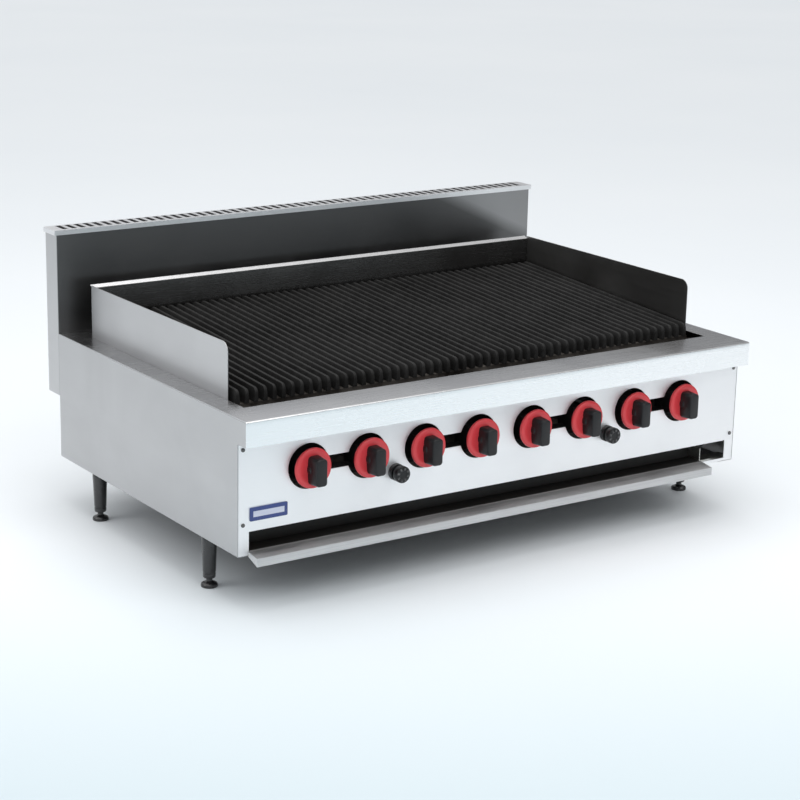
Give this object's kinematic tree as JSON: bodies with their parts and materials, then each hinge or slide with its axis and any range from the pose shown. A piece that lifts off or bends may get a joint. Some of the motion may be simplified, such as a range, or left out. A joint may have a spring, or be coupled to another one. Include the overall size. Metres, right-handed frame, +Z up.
{
  "type": "gas charbroiler grill",
  "caption": "Bench-top gas charbroiler: stainless body on short legs, lift-off cast grates in a splash guard, flue riser behind, push-and-turn knobs, sliding grease tray.",
  "frame": {"origin": "on the floor, under the middle of the whole object's box", "axes": "+X to the right hand of someone at the controls, who stands at -Y; +Z up; the riser is at +Y"},
  "size_m": [1.228, 0.8376, 0.5839],
  "materials": {
    "stainless": "satin brushed stainless sheet",
    "aluminised_steel": "dull, heat-stained sheet",
    "cast_iron": "rough, oiled black",
    "black_pipe": "black steel pipe",
    "brass": "machined",
    "zinc_steel": "zinc-plated steel",
    "black_plastic": "moulded black plastic",
    "red_plastic": "moulded red skirt; the grip on it is black",
    "black_paint": "gloss black",
    "name_plate": "plain blue plate with nothing printed on it"
  },
  "bodies": {
    "body": {"side_panel_left": "stainless", "side_panel_right": "stainless", "front_panel": "stainless", "corner_bracket_left": "zinc_steel", "corner_bracket_right": "zinc_steel", "badge": "name_plate", "top_deck": "stainless", "back_panel": "stainless", "riser_shell": "stainless", "riser_back": "stainless", "riser_cap": "stainless", "flue_duct": "aluminised_steel", "splash_left": "stainless", "splash_right": "stainless", "splash_rear": "stainless", "firebox_liner": "aluminised_steel", "grease_trough": "aluminised_steel", "burners": "cast_iron", "radiants_left": "aluminised_steel", "radiants_right": "aluminised_steel", "gas_manifold": "black_pipe", "gas_inlet": "brass", "igniter_body_left": "black_plastic", "igniter_body_right": "black_plastic", "tray_frame": "zinc_steel", "leg_front_left": "black_paint", "leg_front_right": "black_paint", "leg_rear_left": "black_paint", "leg_rear_right": "black_paint"},
    "valve_stem_1": {"valve_stem_1": "zinc_steel"},
    "knob_1": {"knob_1": "red_plastic"},
    "valve_stem_2": {"valve_stem_2": "zinc_steel"},
    "knob_2": {"knob_2": "red_plastic"},
    "valve_stem_3": {"valve_stem_3": "zinc_steel"},
    "knob_3": {"knob_3": "red_plastic"},
    "valve_stem_4": {"valve_stem_4": "zinc_steel"},
    "knob_4": {"knob_4": "red_plastic"},
    "valve_stem_5": {"valve_stem_5": "zinc_steel"},
    "knob_5": {"knob_5": "red_plastic"},
    "valve_stem_6": {"valve_stem_6": "zinc_steel"},
    "knob_6": {"knob_6": "red_plastic"},
    "valve_stem_7": {"valve_stem_7": "zinc_steel"},
    "knob_7": {"knob_7": "red_plastic"},
    "valve_stem_8": {"valve_stem_8": "zinc_steel"},
    "knob_8": {"knob_8": "red_plastic"},
    "igniter_button_left": {"igniter_button_left": "black_plastic"},
    "igniter_button_right": {"igniter_button_right": "black_plastic"},
    "drip_tray": {"drip_tray": "stainless"},
    "grate_1": {"grate_1": "cast_iron"},
    "grate_2": {"grate_2": "cast_iron"},
    "grate_3": {"grate_3": "cast_iron"},
    "grate_4": {"grate_4": "cast_iron"},
    "grate_5": {"grate_5": "cast_iron"},
    "grate_6": {"grate_6": "cast_iron"},
    "grate_7": {"grate_7": "cast_iron"},
    "grate_8": {"grate_8": "cast_iron"},
    "foot_front_left": {"foot_front_left": "black_paint"},
    "foot_front_right": {"foot_front_right": "black_paint"},
    "foot_rear_left": {"foot_rear_left": "black_paint"},
    "foot_rear_right": {"foot_rear_right": "black_paint"}
  },
  "joints": [
    {"name": "knob_1_push", "type": "slide", "parent": "body", "child": "valve_stem_1", "axis": [0, 1, 0], "range_m": [0, 0.0035], "stiffness_N_per_m": 800},
    {"name": "knob_1_turn", "type": "hinge", "parent": "valve_stem_1", "child": "knob_1", "pos_m": [-0.4581, -0.3908, 0.255], "axis": [0, -1, 0], "range_deg": [0, 180]},
    {"name": "knob_2_push", "type": "slide", "parent": "body", "child": "valve_stem_2", "axis": [0, 1, 0], "range_m": [0, 0.0035], "stiffness_N_per_m": 800},
    {"name": "knob_2_turn", "type": "hinge", "parent": "valve_stem_2", "child": "knob_2", "pos_m": [-0.3285, -0.3908, 0.255], "axis": [0, -1, 0], "range_deg": [0, 180]},
    {"name": "knob_3_push", "type": "slide", "parent": "body", "child": "valve_stem_3", "axis": [0, 1, 0], "range_m": [0, 0.0035], "stiffness_N_per_m": 800},
    {"name": "knob_3_turn", "type": "hinge", "parent": "valve_stem_3", "child": "knob_3", "pos_m": [-0.1989, -0.3908, 0.255], "axis": [0, -1, 0], "range_deg": [0, 180]},
    {"name": "knob_4_push", "type": "slide", "parent": "body", "child": "valve_stem_4", "axis": [0, 1, 0], "range_m": [0, 0.0035], "stiffness_N_per_m": 800},
    {"name": "knob_4_turn", "type": "hinge", "parent": "valve_stem_4", "child": "knob_4", "pos_m": [-0.0693, -0.3908, 0.255], "axis": [0, -1, 0], "range_deg": [0, 180]},
    {"name": "knob_5_push", "type": "slide", "parent": "body", "child": "valve_stem_5", "axis": [0, 1, 0], "range_m": [0, 0.0035], "stiffness_N_per_m": 800},
    {"name": "knob_5_turn", "type": "hinge", "parent": "valve_stem_5", "child": "knob_5", "pos_m": [0.0603, -0.3908, 0.255], "axis": [0, -1, 0], "range_deg": [0, 180]},
    {"name": "knob_6_push", "type": "slide", "parent": "body", "child": "valve_stem_6", "axis": [0, 1, 0], "range_m": [0, 0.0035], "stiffness_N_per_m": 800},
    {"name": "knob_6_turn", "type": "hinge", "parent": "valve_stem_6", "child": "knob_6", "pos_m": [0.1899, -0.3908, 0.255], "axis": [0, -1, 0], "range_deg": [0, 180]},
    {"name": "knob_7_push", "type": "slide", "parent": "body", "child": "valve_stem_7", "axis": [0, 1, 0], "range_m": [0, 0.0035], "stiffness_N_per_m": 800},
    {"name": "knob_7_turn", "type": "hinge", "parent": "valve_stem_7", "child": "knob_7", "pos_m": [0.3195, -0.3908, 0.255], "axis": [0, -1, 0], "range_deg": [0, 180]},
    {"name": "knob_8_push", "type": "slide", "parent": "body", "child": "valve_stem_8", "axis": [0, 1, 0], "range_m": [0, 0.0035], "stiffness_N_per_m": 800},
    {"name": "knob_8_turn", "type": "hinge", "parent": "valve_stem_8", "child": "knob_8", "pos_m": [0.4491, -0.3908, 0.255], "axis": [0, -1, 0], "range_deg": [0, 180]},
    {"name": "igniter_left_push", "type": "slide", "parent": "body", "child": "igniter_button_left", "axis": [0, 1, 0], "range_m": [0, 0.005], "stiffness_N_per_m": 900},
    {"name": "igniter_right_push", "type": "slide", "parent": "body", "child": "igniter_button_right", "axis": [0, 1, 0], "range_m": [0, 0.005], "stiffness_N_per_m": 900},
    {"name": "tray_slide", "type": "slide", "parent": "body", "child": "drip_tray", "axis": [0, -1, 0], "range_m": [0, 0.55]},
    {"name": "grate_1_lift", "type": "slide", "parent": "body", "child": "grate_1", "axis": [0, 0, 1], "range_m": [0, 0.25]},
    {"name": "grate_2_lift", "type": "slide", "parent": "body", "child": "grate_2", "axis": [0, 0, 1], "range_m": [0, 0.25]},
    {"name": "grate_3_lift", "type": "slide", "parent": "body", "child": "grate_3", "axis": [0, 0, 1], "range_m": [0, 0.25]},
    {"name": "grate_4_lift", "type": "slide", "parent": "body", "child": "grate_4", "axis": [0, 0, 1], "range_m": [0, 0.25]},
    {"name": "grate_5_lift", "type": "slide", "parent": "body", "child": "grate_5", "axis": [0, 0, 1], "range_m": [0, 0.25]},
    {"name": "grate_6_lift", "type": "slide", "parent": "body", "child": "grate_6", "axis": [0, 0, 1], "range_m": [0, 0.25]},
    {"name": "grate_7_lift", "type": "slide", "parent": "body", "child": "grate_7", "axis": [0, 0, 1], "range_m": [0, 0.25]},
    {"name": "grate_8_lift", "type": "slide", "parent": "body", "child": "grate_8", "axis": [0, 0, 1], "range_m": [0, 0.25]},
    {"name": "foot_front_left_screw", "type": "slide", "parent": "body", "child": "foot_front_left", "axis": [0, 0, -1], "range_m": [0, 0.02]},
    {"name": "foot_front_right_screw", "type": "slide", "parent": "body", "child": "foot_front_right", "axis": [0, 0, -1], "range_m": [0, 0.02]},
    {"name": "foot_rear_left_screw", "type": "slide", "parent": "body", "child": "foot_rear_left", "axis": [0, 0, -1], "range_m": [0, 0.02]},
    {"name": "foot_rear_right_screw", "type": "slide", "parent": "body", "child": "foot_rear_right", "axis": [0, 0, -1], "range_m": [0, 0.02]}
  ]
}
